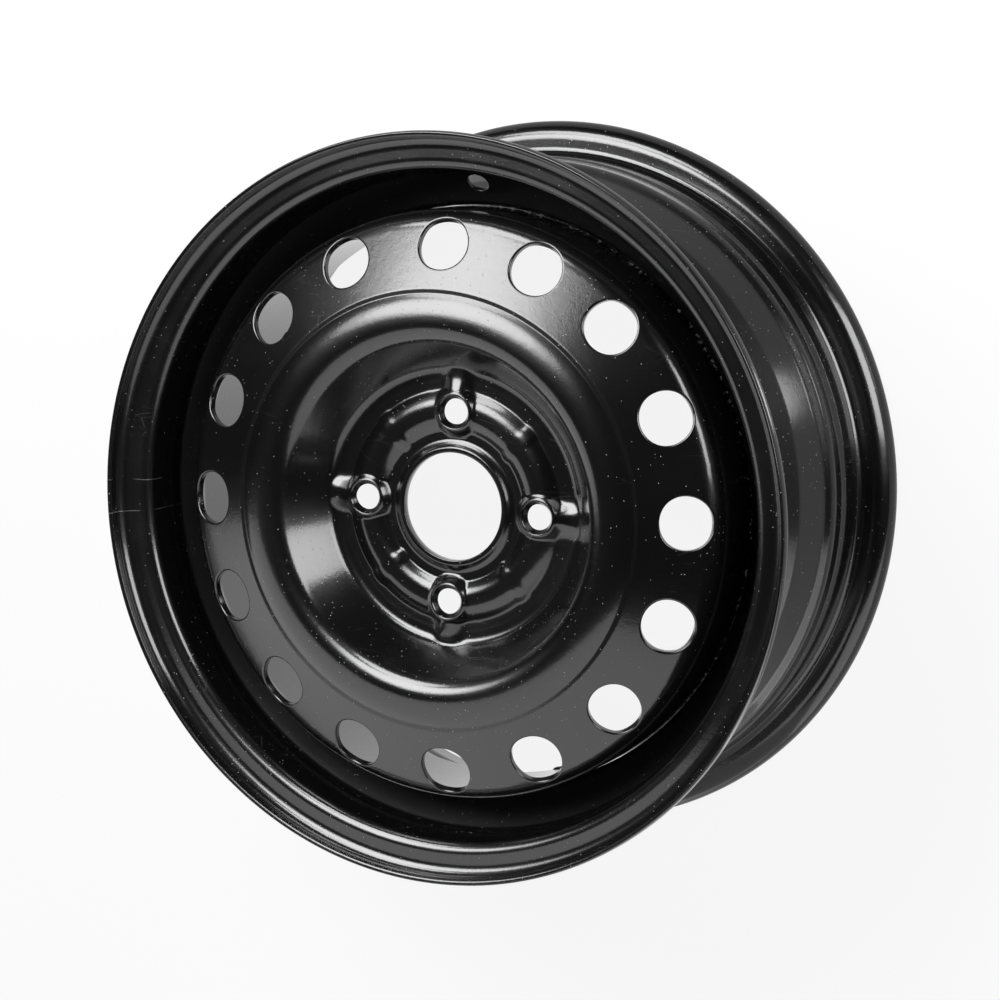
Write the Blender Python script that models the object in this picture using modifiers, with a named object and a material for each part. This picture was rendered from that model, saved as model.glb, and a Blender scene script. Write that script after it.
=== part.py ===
"""Pressed steel road wheel: a rolled rim, a pressed disc and the weld runs that join them.

Lengths are metres. The wheel's axis is +Z towards its outboard face, the origin lies on the axis
halfway between the two flanges, and one bolt hole lies on +X.
"""
import math

import bmesh
import bpy
from mathutils import Matrix, Vector

# Rim: the tyre side of the rolled sheet
RIM_RADIUS = 0.1774
RIM_WIDTH = 0.1397
RIM_SHEET = 0.0024
FLANGE_HEIGHT = 0.0175
CURL_RADIUS = 0.0095
CURL_LIP_ANGLE = math.radians(22.5)
HEEL_RADIUS = 0.0065
SEAT_WIDTH = 0.0145
SEAT_ANGLE = math.radians(5)
HUMP_WIDTH = 0.003
HUMP_HEIGHT = 0.0011
HUMP_FOOT = 0.0035
LEDGE_DROP = 0.0016
OUTER_LEDGE_WIDTH = 0.0297
WELL_DEPTH = 0.0205
WELL_WALL_ANGLE = math.radians(52)
WELL_FLOOR_END = -0.001
WELL_FILLET = 0.006
INNER_WALL_ANGLE = math.radians(30.5)
MID_SLOPE_RISE = 0.0086
MID_SLOPE_ANGLE = math.radians(20)
MID_STEP_RISE = 0.0149
MID_STEP_ANGLE = math.radians(35)
SLOPE_FILLET = 0.008

# Valve hole in the outboard wall of the well
VALVE_HOLE_RADIUS = 0.0059
VALVE_HOLE_RISE = 0.0116
VALVE_ANGLE = math.radians(90.25)

# Disc: the outboard side of the pressed sheet
DISC_SHEET = 0.0036
WHEEL_OFFSET = 0.049
BORE_RADIUS = 0.0283
BORE_LIP_HEIGHT = 0.0028
BORE_LIP_FILLET = 0.0015
PAD_INNER_RADIUS = 0.0395
PAD_OUTER_RADIUS = 0.061
PAD_HEIGHT = 0.002
PAD_FLANK = 0.0045
BOWL_FOOT_RADIUS = 0.0715
BOWL_FOOT_FILLET = 0.004
CROWN_RADIUS = 0.0981
CROWN_HEIGHT = 0.08065
CROWN_INNER_ROUND = 0.0135
CROWN_OUTER_ROUND = 0.03
CROWN_EDGE_ANGLE = math.radians(28.685)
CREASE_WIDTH = 0.0023
VENT_CONE_ANGLE = math.radians(23)
SKIRT_FILLET = 0.006
SKIRT_END = 0.0065

# Vent holes
VENT_COUNT = 16
VENT_SKIRT_INSET = 0.0167
VENT_RADIUS = 0.01375
VENT_PHASE = math.radians(3.45)
UNEVEN_VENTS = (3, 4)
UNEVEN_VENT_TURN = math.radians(-1.75)

# Bolt holes, each in a raised boss that runs out into the bowl
BOLT_COUNT = 4
BOLT_CIRCLE_RADIUS = 0.05
BOLT_HOLE_RADIUS = 0.0067
SEAT_TOP_RADIUS = 0.0086
SEAT_HALF_ANGLE = math.radians(30)
BOSS_HEIGHT = 0.0059
BOSS_TOP_RADIUS = 0.0095
BOSS_FOOT_RADIUS = 0.0138
RIDGE_TOP_RADIUS = 0.005
RIDGE_FOOT_RADIUS = 0.007
RIDGE_TOP_REACH = 0.0705
RIDGE_FOOT_REACH = 0.066
BOSS_ROOT_DEPTH = 0.0012
HOLLOW_INSET = 0.0022
HOLLOW_REACH_INSET = 0.004

# Weld runs between the disc's skirt and the rim's well
WELD_COUNT = 8
WELD_LENGTH = 0.04
WELD_RADIUS = 0.0022
WELD_PHASE = math.radians(22.5)
WELD_POINTS = 9

CLEARANCE = 0.0003
CUT_MARGIN = 0.004
TURN_STEPS = 56
HOLE_SEGMENTS = 24
BOSS_SEGMENTS = 18
ARC_STEP = math.radians(45)
CURL_SEGMENTS = 5
CROWN_INNER_SEGMENTS = 3
CROWN_OUTER_SEGMENTS = 2
MERGE_DISTANCE = 0.00005
CRISP_ANGLE = math.radians(40)
BEVEL_RESOLUTION = 2

PAINT_COLOUR = (0.012, 0.012, 0.013, 1.0)
PAINT_ROUGHNESS = 0.25
WELD_COLOUR = (0.016, 0.016, 0.017, 1.0)
WELD_ROUGHNESS = 0.4

# Levels and radii that follow from the sizes above
HALF_WIDTH = RIM_WIDTH / 2
WELL_RADIUS = RIM_RADIUS - WELL_DEPTH
MID_SLOPE_RADIUS = WELL_RADIUS + MID_SLOPE_RISE
MID_STEP_RADIUS = WELL_RADIUS + MID_STEP_RISE
VALVE_HOLE_DISTANCE = WELL_RADIUS + VALVE_HOLE_RISE
WELL_INNER_RADIUS = WELL_RADIUS - RIM_SHEET
SKIRT_RADIUS = WELL_INNER_RADIUS - CLEARANCE
VENT_CIRCLE_RADIUS = SKIRT_RADIUS - VENT_SKIRT_INSET
CREASE_RADIUS = CROWN_RADIUS + CROWN_OUTER_ROUND * math.sin(CROWN_EDGE_ANGLE) + CREASE_WIDTH
CREASE_HEIGHT = CROWN_HEIGHT - CROWN_OUTER_ROUND * (1 - math.cos(CROWN_EDGE_ANGLE))
FACE_HEIGHT = WHEEL_OFFSET + DISC_SHEET
BOSS_TOP = FACE_HEIGHT + BOSS_HEIGHT
HOLLOW_TOP = BOSS_TOP - DISC_SHEET


def clear_scene():
    """Remove the objects that a new file starts with."""
    for item in list(bpy.data.objects):
        bpy.data.objects.remove(item, do_unlink=True)


def make_collection(name):
    """A new collection under the scene's own."""
    group = bpy.data.collections.new(name)
    bpy.context.scene.collection.children.link(group)
    return group


def make_material(name, colour, roughness):
    """A Principled material of coated steel."""
    material = bpy.data.materials.new(name)
    material.use_nodes = True
    shader = material.node_tree.nodes["Principled BSDF"]
    shader.inputs["Base Color"].default_value = colour
    shader.inputs["Roughness"].default_value = roughness
    shader.inputs["Metallic"].default_value = 0.0
    return material


def arc_points(centre, radius, start, end, segments):
    """Points (radius, height) on an arc whose angle is measured from outward towards up."""
    points = []
    for i in range(segments + 1):
        angle = start + (end - start) * i / segments
        points.append((centre[0] + radius * math.cos(angle), centre[1] + radius * math.sin(angle)))
    return points


def rounded_path(corners):
    """Points of a path whose corners are (radius, height) or (radius, height, fillet)."""
    points = []
    for i, corner in enumerate(corners):
        here = Vector(corner[:2])
        fillet = corner[2] if len(corner) > 2 else 0.0
        if fillet == 0.0 or i in (0, len(corners) - 1):
            points.append(tuple(here))
            continue
        back = (Vector(corners[i - 1][:2]) - here).normalized()
        ahead = (Vector(corners[i + 1][:2]) - here).normalized()
        turn = math.pi - back.angle(ahead)
        reach = fillet * math.tan(turn / 2)
        centre = here + (back + ahead).normalized() * fillet / math.cos(turn / 2)
        first = here + back * reach - centre
        side = math.copysign(1.0, first.y * back.x - first.x * back.y)
        segments = max(1, math.ceil(turn / ARC_STEP))
        start = math.atan2(first.y, first.x)
        points += arc_points(centre, fillet, start, start + side * turn, segments)
    return points


def object_from_mesh(name, mesh, group):
    """A new object with this mesh in a collection."""
    item = bpy.data.objects.new(name, mesh)
    group.objects.link(item)
    return item


def turned_surface(name, profile, group):
    """Turn an open (radius, height) profile about Z into a surface."""
    mesh = bpy.data.meshes.new(name)
    vertices = [(radius, 0.0, height) for radius, height in profile]
    mesh.from_pydata(vertices, [(i, i + 1) for i in range(len(vertices) - 1)], [])
    item = object_from_mesh(name, mesh, group)
    screw = item.modifiers.new("Turn", "SCREW")
    screw.axis = "Z"
    screw.steps = TURN_STEPS
    screw.render_steps = TURN_STEPS
    screw.use_merge_vertices = True
    screw.merge_threshold = MERGE_DISTANCE
    return item


def add_sheet(item, thickness):
    """Give a turned surface its sheet's thickness on the side away from the profile."""
    solid = item.modifiers.new("Sheet", "SOLIDIFY")
    solid.thickness = thickness
    solid.offset = -1.0
    solid.use_even_offset = True


def circle_points(centre, radius, height, segments):
    """Points of a level circle."""
    points = []
    for i in range(segments):
        angle = 2 * math.pi * i / segments
        spot = (centre + radius * math.cos(angle), radius * math.sin(angle), height)
        points.append(Vector(spot))
    return points


def add_hull(frame, circles, angle):
    """Add the closed solid around level circles (distance, radius, height) to a bmesh."""
    turn = Matrix.Rotation(angle, 3, "Z")
    corners = []
    for distance, radius, height in circles:
        for point in circle_points(distance, radius, height, BOSS_SEGMENTS):
            corners.append(frame.verts.new(turn @ point))
    result = bmesh.ops.convex_hull(frame, input=corners)
    inside = [item for item in result["geom_interior"] if isinstance(item, bmesh.types.BMVert)]
    bmesh.ops.delete(frame, geom=inside, context="VERTS")


def add_round(frame, radius_low, radius_high, depth, matrix):
    """Add a closed cylinder or cone frustum, centred on the matrix's place, to a bmesh."""
    bmesh.ops.create_cone(frame, cap_ends=True, segments=HOLE_SEGMENTS, radius1=radius_low,
                          radius2=radius_high, depth=depth, matrix=matrix)


def mesh_cutter(name, frame, group):
    """Turn a bmesh into a hidden cutter object."""
    bmesh.ops.recalc_face_normals(frame, faces=frame.faces)
    mesh = bpy.data.meshes.new(name)
    frame.to_mesh(mesh)
    frame.free()
    item = object_from_mesh(name, mesh, group)
    item.hide_render = True
    item.display_type = "WIRE"
    return item


def add_boolean(item, cutter, operation):
    """Cut or join a solid with another."""
    boolean = item.modifiers.new(cutter.name, "BOOLEAN")
    boolean.operation = operation
    boolean.solver = "EXACT"
    boolean.object = cutter


def finish_piece(item, material):
    """Give a piece its material and smooth shading with crisp edges."""
    item.data.materials.append(material)
    item.data.shade_smooth()
    item.data.set_sharp_from_angle(angle=CRISP_ANGLE)


def flange_corners(side):
    """The tyre side of one flange, its bead seat and its hump, from the lip inwards."""
    curl_centre = RIM_RADIUS + FLANGE_HEIGHT - CURL_RADIUS
    curl_height = HALF_WIDTH + CURL_RADIUS
    curl = arc_points((curl_centre, curl_height), CURL_RADIUS, CURL_LIP_ANGLE, -math.pi / 2, CURL_SEGMENTS)
    seat_radius = RIM_RADIUS - SEAT_WIDTH * math.tan(SEAT_ANGLE)
    hump_place = HALF_WIDTH - SEAT_WIDTH - HUMP_WIDTH
    corners = curl[:-1]
    corners.append((curl_centre, HALF_WIDTH))
    corners.append((RIM_RADIUS, HALF_WIDTH, HEEL_RADIUS))
    corners.append((seat_radius, HALF_WIDTH - SEAT_WIDTH))
    corners.append((seat_radius + HUMP_HEIGHT, hump_place))
    corners.append((RIM_RADIUS - LEDGE_DROP, hump_place - HUMP_FOOT))
    return [(corner[0], side * corner[1]) + tuple(corner[2:]) for corner in corners]


def rim_profile():
    """The rim's tyre side from the outboard lip to the inboard lip."""
    ledge_radius = RIM_RADIUS - LEDGE_DROP
    wall_top = HALF_WIDTH - OUTER_LEDGE_WIDTH
    wall_foot = wall_top - (ledge_radius - WELL_RADIUS) / math.tan(WELL_WALL_ANGLE)
    mid_slope = WELL_FLOOR_END - (MID_SLOPE_RADIUS - WELL_RADIUS) / math.tan(INNER_WALL_ANGLE)
    mid_step = mid_slope - (MID_STEP_RADIUS - MID_SLOPE_RADIUS) / math.tan(MID_SLOPE_ANGLE)
    inner_ledge = mid_step - (ledge_radius - MID_STEP_RADIUS) / math.tan(MID_STEP_ANGLE)
    well = [
        (ledge_radius, wall_top, WELL_FILLET),
        (WELL_RADIUS, wall_foot, WELL_FILLET),
        (WELL_RADIUS, WELL_FLOOR_END, WELL_FILLET),
        (MID_SLOPE_RADIUS, mid_slope, SLOPE_FILLET),
        (MID_STEP_RADIUS, mid_step),
        (ledge_radius, inner_ledge),
    ]
    return rounded_path(flange_corners(1) + well + flange_corners(-1)[::-1])


def valve_matrix():
    """Place and direction of the valve hole, square to the well's outboard wall."""
    ledge_radius = RIM_RADIUS - LEDGE_DROP
    wall_top = HALF_WIDTH - OUTER_LEDGE_WIDTH
    height = wall_top - (ledge_radius - VALVE_HOLE_DISTANCE) / math.tan(WELL_WALL_ANGLE)
    spot = Matrix.Translation((VALVE_HOLE_DISTANCE, 0.0, height))
    tilt = Matrix.Rotation(WELL_WALL_ANGLE - math.pi / 2, 4, "Y")
    return Matrix.Rotation(VALVE_ANGLE, 4, "Z") @ spot @ tilt


def build_rim(pieces, cutters, material):
    """The rolled rim with both flanges and its valve hole."""
    rim = turned_surface("rim", rim_profile(), pieces)
    add_sheet(rim, RIM_SHEET)
    depth = 2 * RIM_SHEET + 2 * CUT_MARGIN
    frame = bmesh.new()
    add_round(frame, VALVE_HOLE_RADIUS, VALVE_HOLE_RADIUS, depth, valve_matrix())
    add_boolean(rim, mesh_cutter("valve_cutter", frame, cutters), "DIFFERENCE")
    finish_piece(rim, material)


def cone_height(radius):
    """Height of the vent cone's outboard side at a radius."""
    return CREASE_HEIGHT - (radius - CREASE_RADIUS) * math.tan(VENT_CONE_ANGLE)


def hub_corners():
    """The disc's outboard side from the bore's lip to the foot of the bowl."""
    lip_radius = BORE_RADIUS + DISC_SHEET
    pad_top = FACE_HEIGHT + PAD_HEIGHT
    return [
        (lip_radius, FACE_HEIGHT + BORE_LIP_HEIGHT),
        (lip_radius, FACE_HEIGHT, BORE_LIP_FILLET),
        (PAD_INNER_RADIUS, FACE_HEIGHT),
        (PAD_INNER_RADIUS + PAD_FLANK, pad_top),
        (PAD_OUTER_RADIUS - PAD_FLANK, pad_top),
        (PAD_OUTER_RADIUS, FACE_HEIGHT),
        (BOWL_FOOT_RADIUS, FACE_HEIGHT, BOWL_FOOT_FILLET),
    ]


def crown_points():
    """The rounded crown, which starts where the bowl's straight side touches its inner round."""
    centre = Vector((CROWN_RADIUS, CROWN_HEIGHT - CROWN_INNER_ROUND))
    reach = centre - Vector((BOWL_FOOT_RADIUS, FACE_HEIGHT))
    side = math.atan2(reach.y, reach.x) + math.asin(CROWN_INNER_ROUND / reach.length)
    start = side + math.pi / 2
    inner = arc_points(centre, CROWN_INNER_ROUND, start, math.pi / 2, CROWN_INNER_SEGMENTS)
    outer_centre = (CROWN_RADIUS, CROWN_HEIGHT - CROWN_OUTER_ROUND)
    end = math.pi / 2 - CROWN_EDGE_ANGLE
    outer = arc_points(outer_centre, CROWN_OUTER_ROUND, math.pi / 2, end, CROWN_OUTER_SEGMENTS)
    return inner + outer[1:]


def disc_profile():
    """The disc's outboard side from the bore's lip out to the end of its skirt."""
    skirt = [
        (CREASE_RADIUS, cone_height(CREASE_RADIUS)),
        (SKIRT_RADIUS, cone_height(SKIRT_RADIUS), SKIRT_FILLET),
        (SKIRT_RADIUS, SKIRT_END),
    ]
    return rounded_path(hub_corners() + crown_points() + skirt)


def bolt_angle(index):
    """Angle of one bolt hole."""
    return 2 * math.pi * index / BOLT_COUNT


def vent_angle(index):
    """Angle of one vent hole, two of which are pressed a little off the even pitch."""
    angle = VENT_PHASE + 2 * math.pi * index / VENT_COUNT
    if index in UNEVEN_VENTS:
        angle += UNEVEN_VENT_TURN
    return angle


def bolt_matrix(index, height):
    """Place of one bolt hole's axis at a height."""
    spot = Matrix.Translation((BOLT_CIRCLE_RADIUS, 0.0, height))
    return Matrix.Rotation(bolt_angle(index), 4, "Z") @ spot


def boss_solids(cutters):
    """The bolt bosses with the ridges that run out into the bowl."""
    root = FACE_HEIGHT - BOSS_ROOT_DEPTH
    frame = bmesh.new()
    for index in range(BOLT_COUNT):
        add_hull(frame, [
            (BOLT_CIRCLE_RADIUS, BOSS_FOOT_RADIUS, root),
            (BOLT_CIRCLE_RADIUS, BOSS_TOP_RADIUS, BOSS_TOP),
            (RIDGE_FOOT_REACH, RIDGE_FOOT_RADIUS, root),
            (RIDGE_TOP_REACH, RIDGE_TOP_RADIUS, BOSS_TOP),
        ], bolt_angle(index))
    return mesh_cutter("boss_solids", frame, cutters)


def hollow_solids(cutters):
    """The hollows that the pressing leaves behind the bosses."""
    low = WHEEL_OFFSET - CUT_MARGIN
    frame = bmesh.new()
    for index in range(BOLT_COUNT):
        add_hull(frame, [
            (BOLT_CIRCLE_RADIUS, BOSS_FOOT_RADIUS - HOLLOW_INSET, low),
            (BOLT_CIRCLE_RADIUS, BOSS_TOP_RADIUS - HOLLOW_INSET + CLEARANCE, HOLLOW_TOP),
            (RIDGE_FOOT_REACH - HOLLOW_REACH_INSET, RIDGE_FOOT_RADIUS - HOLLOW_INSET, low),
            (RIDGE_TOP_REACH - HOLLOW_REACH_INSET, RIDGE_TOP_RADIUS - HOLLOW_INSET, HOLLOW_TOP),
        ], bolt_angle(index))
    return mesh_cutter("hollow_solids", frame, cutters)


def bolt_hole_solids(cutters):
    """The straight bolt holes."""
    depth = 2 * (BOSS_HEIGHT + CUT_MARGIN)
    frame = bmesh.new()
    for index in range(BOLT_COUNT):
        matrix = bolt_matrix(index, FACE_HEIGHT)
        add_round(frame, BOLT_HOLE_RADIUS, BOLT_HOLE_RADIUS, depth, matrix)
    return mesh_cutter("bolt_hole_solids", frame, cutters)


def bolt_seat_solids(cutters):
    """The cones that leave the bolts' conical seats."""
    slope = math.tan(SEAT_HALF_ANGLE)
    reach = (SEAT_TOP_RADIUS - BOLT_HOLE_RADIUS) / slope + CLEARANCE
    low = SEAT_TOP_RADIUS - reach * slope
    high = SEAT_TOP_RADIUS + reach * slope
    frame = bmesh.new()
    for index in range(BOLT_COUNT):
        add_round(frame, low, high, 2 * reach, bolt_matrix(index, BOSS_TOP))
    return mesh_cutter("bolt_seat_solids", frame, cutters)


def vent_solids(cutters):
    """The vent holes, each square to the vent cone."""
    depth = 2 * (DISC_SHEET + CUT_MARGIN)
    height = cone_height(VENT_CIRCLE_RADIUS)
    spot = Matrix.Translation((VENT_CIRCLE_RADIUS, 0.0, height))
    tilt = Matrix.Rotation(VENT_CONE_ANGLE, 4, "Y")
    frame = bmesh.new()
    for index in range(VENT_COUNT):
        matrix = Matrix.Rotation(vent_angle(index), 4, "Z") @ spot @ tilt
        add_round(frame, VENT_RADIUS, VENT_RADIUS, depth, matrix)
    return mesh_cutter("vent_solids", frame, cutters)


def build_disc(pieces, cutters, material):
    """The pressed disc with its bolt bosses and vent holes."""
    disc = turned_surface("disc", disc_profile(), pieces)
    add_sheet(disc, DISC_SHEET)
    add_boolean(disc, vent_solids(cutters), "DIFFERENCE")
    add_boolean(disc, boss_solids(cutters), "UNION")
    for cutter in (hollow_solids, bolt_hole_solids, bolt_seat_solids):
        add_boolean(disc, cutter(cutters), "DIFFERENCE")
    finish_piece(disc, material)


def build_weld(index, pieces, material):
    """One weld run in the corner between the skirt's end and the rim's well."""
    well_flat = WELL_INNER_RADIUS * math.cos(math.pi / TURN_STEPS)
    distance = well_flat - CLEARANCE - WELD_RADIUS
    height = SKIRT_END - CLEARANCE - WELD_RADIUS
    span = WELD_LENGTH / distance
    middle = WELD_PHASE + 2 * math.pi * index / WELD_COUNT
    curve = bpy.data.curves.new("weld_run", "CURVE")
    curve.dimensions = "3D"
    curve.bevel_depth = WELD_RADIUS
    curve.bevel_resolution = BEVEL_RESOLUTION
    curve.use_fill_caps = True
    spline = curve.splines.new("POLY")
    spline.points.add(WELD_POINTS - 1)
    for i in range(WELD_POINTS):
        angle = middle + span * (i / (WELD_POINTS - 1) - 0.5)
        place = (distance * math.cos(angle), distance * math.sin(angle), height, 1.0)
        spline.points[i].co = place
    bead = bpy.data.objects.new(f"weld_bead_{index + 1}", curve)
    bead.data.materials.append(material)
    pieces.objects.link(bead)


def main():
    """Build the whole wheel."""
    clear_scene()
    pieces = make_collection("steel_wheel_rim")
    cutters = make_collection("cutters")
    build_rim(pieces, cutters, make_material("rim_paint", PAINT_COLOUR, PAINT_ROUGHNESS))
    build_disc(pieces, cutters, make_material("disc_paint", PAINT_COLOUR, PAINT_ROUGHNESS))
    weld_paint = make_material("weld_paint", WELD_COLOUR, WELD_ROUGHNESS)
    for index in range(WELD_COUNT):
        build_weld(index, pieces, weld_paint)


if __name__ == "__main__":
    main()
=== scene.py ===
"""Dressed scene of a pressed steel road wheel: a rolled rim, a pressed disc and their weld runs."""
import logging
import math
from dataclasses import dataclass, field
from enum import Enum

import bmesh
import bpy
import numpy as np
from mathutils import Matrix, Vector


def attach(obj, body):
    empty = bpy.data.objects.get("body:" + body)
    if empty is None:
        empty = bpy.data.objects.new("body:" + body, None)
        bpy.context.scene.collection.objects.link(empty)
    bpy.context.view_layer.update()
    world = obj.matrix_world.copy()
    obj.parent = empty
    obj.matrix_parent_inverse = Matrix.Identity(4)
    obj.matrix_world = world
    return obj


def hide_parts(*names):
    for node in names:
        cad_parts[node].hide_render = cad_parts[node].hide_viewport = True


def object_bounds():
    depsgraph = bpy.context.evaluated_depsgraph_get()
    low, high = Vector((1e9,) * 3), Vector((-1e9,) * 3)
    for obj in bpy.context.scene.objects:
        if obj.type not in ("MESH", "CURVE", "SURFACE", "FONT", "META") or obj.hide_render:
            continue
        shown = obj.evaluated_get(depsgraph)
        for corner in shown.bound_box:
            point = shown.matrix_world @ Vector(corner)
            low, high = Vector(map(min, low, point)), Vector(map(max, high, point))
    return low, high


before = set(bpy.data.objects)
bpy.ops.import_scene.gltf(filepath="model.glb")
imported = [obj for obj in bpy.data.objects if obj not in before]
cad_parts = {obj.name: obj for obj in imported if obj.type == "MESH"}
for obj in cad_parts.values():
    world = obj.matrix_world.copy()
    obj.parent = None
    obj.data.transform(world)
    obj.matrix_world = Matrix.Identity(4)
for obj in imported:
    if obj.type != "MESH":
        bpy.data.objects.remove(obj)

LOG = logging.getLogger("steel_wheel")
CAD_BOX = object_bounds()
FRAME_TURN = math.radians(6.25)
ARC_STEP = math.radians(8)
MERGE_DISTANCE = 0.000001
Tree = bpy.types.NodeTree
Node = bpy.types.Node
Socket = bpy.types.NodeSocket
Material = bpy.types.Material
Object = bpy.types.Object


class Side(Enum):
    """The two sides of a pressed or rolled sheet."""

    FACE = "face"
    BACK = "back"


# Shapes of sheets


def smooth_step(value: np.ndarray) -> np.ndarray:
    """Ease from 0 to 1 over the unit range.

    Args:
        value: Any numbers; they are clamped to 0 and 1.

    Returns:
        The eased numbers.
    """
    value = np.clip(value, 0.0, 1.0)
    return value * value * (3.0 - 2.0 * value)


def eased(value: np.ndarray, start: float, span: float) -> np.ndarray:
    """Ease from 0 to 1 over a span that begins at a start."""
    return smooth_step((value - start) / span)


def smooth_highest(first: np.ndarray, second: np.ndarray, blend: float) -> np.ndarray:
    """The higher of two surfaces, with a fillet where they cross.

    Args:
        first: Heights of one surface.
        second: Heights of the other surface.
        blend: Height difference within which the two run together.

    Returns:
        The joined heights.
    """
    share = np.clip(0.5 + 0.5 * (first - second) / blend, 0.0, 1.0)
    return second * (1.0 - share) + first * share + blend * share * (1.0 - share)


def rounded_path(corners: list[tuple], arc_step: float) -> list[tuple[float, float]]:
    """Round the corners of a section.

    Args:
        corners: Corners as (radius, height) or (radius, height, fillet).
        arc_step: Largest angle that one step of a fillet turns through.

    Returns:
        Points as (radius, height).
    """
    points: list[tuple[float, float]] = []
    for i, corner in enumerate(corners):
        here = Vector(corner[:2])
        fillet = corner[2] if len(corner) > 2 else 0.0
        if fillet == 0.0 or i in (0, len(corners) - 1):
            points.append(tuple(here))
            continue
        back = (Vector(corners[i - 1][:2]) - here).normalized()
        ahead = (Vector(corners[i + 1][:2]) - here).normalized()
        turn = math.pi - back.angle(ahead)
        reach = fillet * math.tan(turn / 2)
        centre = here + (back + ahead).normalized() * fillet / math.cos(turn / 2)
        first = here + back * reach - centre
        side = math.copysign(1.0, first.y * back.x - first.x * back.y)
        count = max(2, math.ceil(turn / arc_step))
        start = math.atan2(first.y, first.x)
        for k in range(count + 1):
            angle = start + side * turn * k / count
            points.append((centre.x + fillet * math.cos(angle), centre.y + fillet * math.sin(angle)))
    return points


def arc_points(centre: tuple[float, float], radius: float, start: float, end: float,
               count: int) -> list[tuple[float, float]]:
    """Points on an arc of a section.

    Args:
        centre: Centre as (radius, height).
        radius: The arc's own radius.
        start: First angle, from outward towards up.
        end: Last angle.
        count: Number of steps.

    Returns:
        Points as (radius, height).
    """
    angles = [start + (end - start) * k / count for k in range(count + 1)]
    return [(centre[0] + radius * math.cos(a), centre[1] + radius * math.sin(a)) for a in angles]


@dataclass
class SheetSection:
    """Section of a turned sheet: rows along its face and the matching rows along its back."""

    path: list[tuple[float, float]]
    thickness: float
    support: float = 0.0004
    shortest_inner: float = 5.0
    longest: float = 0.004

    def __post_init__(self) -> None:
        """Divide the path into rows and offset them through the sheet."""
        self.face = np.array(self._divided())
        steps = np.diff(self.face, axis=0)
        lengths = np.hypot(steps[:, 0], steps[:, 1])
        self.reach = np.concatenate([[0.0], np.cumsum(lengths)])
        left = np.stack([-steps[:, 1], steps[:, 0]], axis=1) / lengths[:, None]
        before = np.vstack([left[:1], left])
        after = np.vstack([left, left[-1:]])
        middle = before + after
        middle /= np.linalg.norm(middle, axis=1)[:, None]
        stretch = np.sum(middle * before, axis=1)
        self.back = self.face - middle * (self.thickness / stretch)[:, None]

    def _divided(self) -> list[tuple[float, float]]:
        """Rows with support beside each end of a straight stretch and even steps between.

        Returns:
            Points as (radius, height).
        """
        rows = [self.path[0]]
        for start, end in zip(self.path, self.path[1:]):
            length = math.dist(start, end)
            if length < MERGE_DISTANCE:
                continue
            marks: list[float] = []
            if length > self.shortest_inner * self.support:
                inner = length - 2 * self.support
                count = max(1, math.ceil(inner / self.longest))
                marks = [self.support + inner * k / count for k in range(count + 1)]
            for mark in marks:
                share = mark / length
                rows.append((start[0] + (end[0] - start[0]) * share,
                             start[1] + (end[1] - start[1]) * share))
            rows.append(end)
        return rows

    def reach_at_radius(self, radius: float) -> float:
        """Distance along the face at the first row that is as far out as a radius.

        Args:
            radius: The radius to reach.

        Returns:
            The distance along the face.
        """
        row = int(np.argmax(self.face[:, 0] >= radius))
        span = self.face[row, 0] - self.face[row - 1, 0]
        share = (radius - self.face[row - 1, 0]) / span
        return float(self.reach[row - 1] + share * (self.reach[row] - self.reach[row - 1]))

    def point(self, reach: np.ndarray, side: Side) -> tuple[np.ndarray, np.ndarray]:
        """Radius and height on one side at distances along the face."""
        rows = self.face if side is Side.FACE else self.back
        return np.interp(reach, self.reach, rows[:, 0]), np.interp(reach, self.reach, rows[:, 1])


@dataclass(frozen=True)
class SheetHole:
    """A round hole through a turned sheet, inside a patch of its grid of rows and columns."""

    reach: float
    angle: float
    rows: tuple[int, int]
    columns: tuple[int, int]
    wall: tuple[tuple[float, float], ...]
    rings: int


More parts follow.
